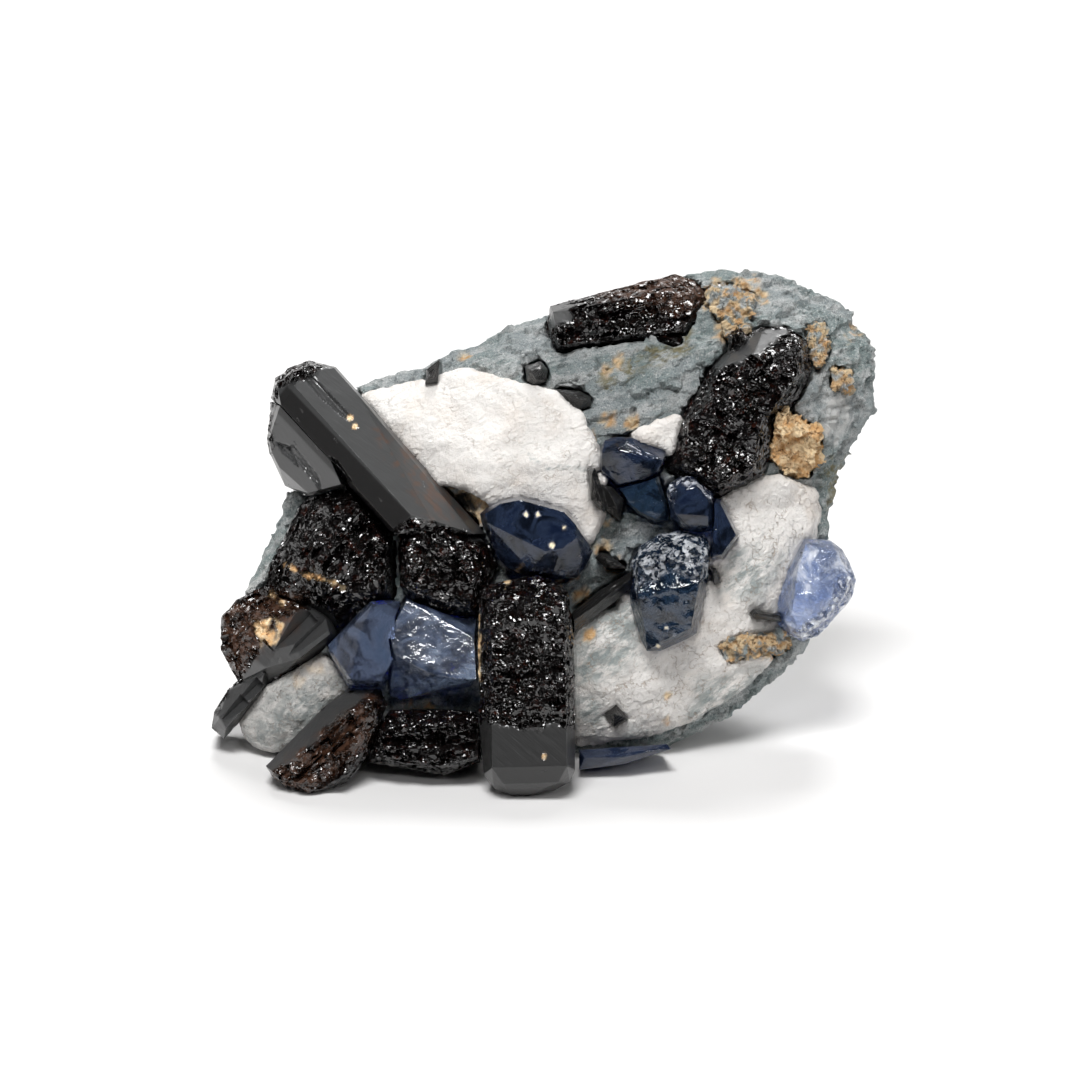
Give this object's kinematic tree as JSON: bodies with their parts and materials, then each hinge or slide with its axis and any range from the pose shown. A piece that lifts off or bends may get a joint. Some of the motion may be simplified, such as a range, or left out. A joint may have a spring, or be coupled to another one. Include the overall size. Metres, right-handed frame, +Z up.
{
  "type": "benitoite with neptunite",
  "caption": "mineral specimen: blue benitoite and black neptunite crystals on white natrolite and blue-grey schist, resting on a broken base",
  "frame": {"origin": "on the flat broken base of the rock, below the middle of the show face", "axes": "+X to the right along the long side as seen from the show face, +Y to the back, +Z up; the show face looks along -Y and leans back 20 degrees"},
  "size_m": [0.0663, 0.0405, 0.0453],
  "materials": {
    "schist": "rough, dull, fine-grained, with ledges",
    "natrolite": "matte, chalky, lightly cracked",
    "tan_crust": "matte, crumbly",
    "neptunite": "glossy black on flat faces, etched and sparkling on rough ones",
    "benitoite": "glossy, see-through blue, with veils and cracks"
  },
  "bodies": {
    "root": {"matrix_schist": "schist", "natrolite_upper": "natrolite", "natrolite_right": "natrolite", "natrolite_left": "natrolite", "natrolite_wedge": "natrolite", "tan_crust_right": "tan_crust", "tan_crust_top": "tan_crust", "tan_crust_edge": "tan_crust", "tan_crust_side": "tan_crust", "tan_crust_lower": "tan_crust", "neptunite_long_prism": "neptunite", "neptunite_left_mass": "neptunite", "neptunite_lower_left": "neptunite", "neptunite_low_bar": "neptunite", "neptunite_front_block": "neptunite", "neptunite_top_bar": "neptunite", "neptunite_upper_right": "neptunite", "neptunite_blade_top_left": "neptunite", "neptunite_cube_top": "neptunite", "neptunite_sliver_top": "neptunite", "neptunite_twin_blades": "neptunite", "neptunite_shard_center": "neptunite", "neptunite_long_rod": "neptunite", "neptunite_rod_right": "neptunite", "neptunite_needle_lower_right": "neptunite", "neptunite_octahedral": "neptunite", "benitoite_left_outer": "benitoite", "benitoite_left_inner": "benitoite", "benitoite_center": "benitoite", "benitoite_upper": "benitoite", "benitoite_middle": "benitoite", "benitoite_cracked": "benitoite", "benitoite_triangle": "benitoite", "benitoite_lower": "benitoite", "benitoite_right": "benitoite", "benitoite_bottom_strip": "benitoite"}
  },
  "joints": []
}
